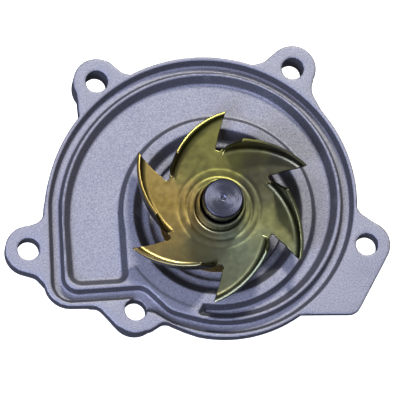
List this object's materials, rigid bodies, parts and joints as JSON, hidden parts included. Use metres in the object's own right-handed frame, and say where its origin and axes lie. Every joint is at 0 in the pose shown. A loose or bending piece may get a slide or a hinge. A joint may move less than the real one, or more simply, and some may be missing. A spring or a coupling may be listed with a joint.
{
  "type": "engine water pump",
  "caption": "Belt-driven engine coolant pump: flat die-cast cover with bolt lugs, volute and seal groove, stamped vane impeller in front and toothed sprocket behind.",
  "frame": {"origin": "shaft axis at the mating face that bolts to the engine", "axes": "+Z along the shaft into the engine, towards the impeller end; +X towards the flat web beside the single lug; +Y towards the two thick lugs"},
  "size_m": [0.116, 0.0899, 0.0618],
  "materials": {
    "cast_aluminium": "blasted die casting",
    "yellow_zinc": "yellow chromated zinc plate",
    "ground_steel": "turned and ground",
    "bearing_steel": "polished",
    "sintered_steel": "steam-treated sinter",
    "cage_nylon": "glass-filled nylon",
    "lip_rubber": "moulded",
    "black_rubber": "moulded",
    "stainless": "pressed sheet",
    "brass": "pressed sheet",
    "carbon": "lapped carbon graphite",
    "ceramic": "lapped alumina"
  },
  "bodies": {
    "cover": {"housing": "cast_aluminium", "bearing_outer_ring": "bearing_steel", "front_seal_core": "stainless", "front_seal_lip": "lip_rubber", "rear_seal_core": "stainless", "rear_seal_lip": "lip_rubber", "seal_shell": "brass", "carbon_ring": "carbon", "seal_bellows": "black_rubber", "seal_spring": "stainless", "spring_retainer": "stainless"},
    "rotor": {"shaft": "ground_steel", "impeller": "yellow_zinc", "sprocket": "sintered_steel", "seal_sleeve": "stainless", "mating_ring": "ceramic", "ring_cup": "black_rubber", "slinger": "black_rubber"},
    "ball_row": {"bearing_balls": "bearing_steel", "ball_cage": "cage_nylon"},
    "roller_row": {"bearing_rollers": "bearing_steel", "roller_cage": "cage_nylon"}
  },
  "joints": [
    {"name": "shaft_spin", "type": "hinge", "parent": "cover", "child": "rotor", "pos_m": [0, 0, 0], "axis": [0, 0, 1], "continuous": true},
    {"name": "ball_row_spin", "type": "hinge", "parent": "cover", "child": "ball_row", "pos_m": [0, 0, -0.02], "axis": [0, 0, 1], "continuous": true},
    {"name": "roller_row_spin", "type": "hinge", "parent": "cover", "child": "roller_row", "pos_m": [0, 0, -0.0305], "axis": [0, 0, 1], "continuous": true}
  ],
  "couplings": [
    {"joint": "ball_row_spin", "follows": "shaft_spin", "ratio": 0.3474},
    {"joint": "roller_row_spin", "follows": "shaft_spin", "ratio": 0.3815}
  ]
}
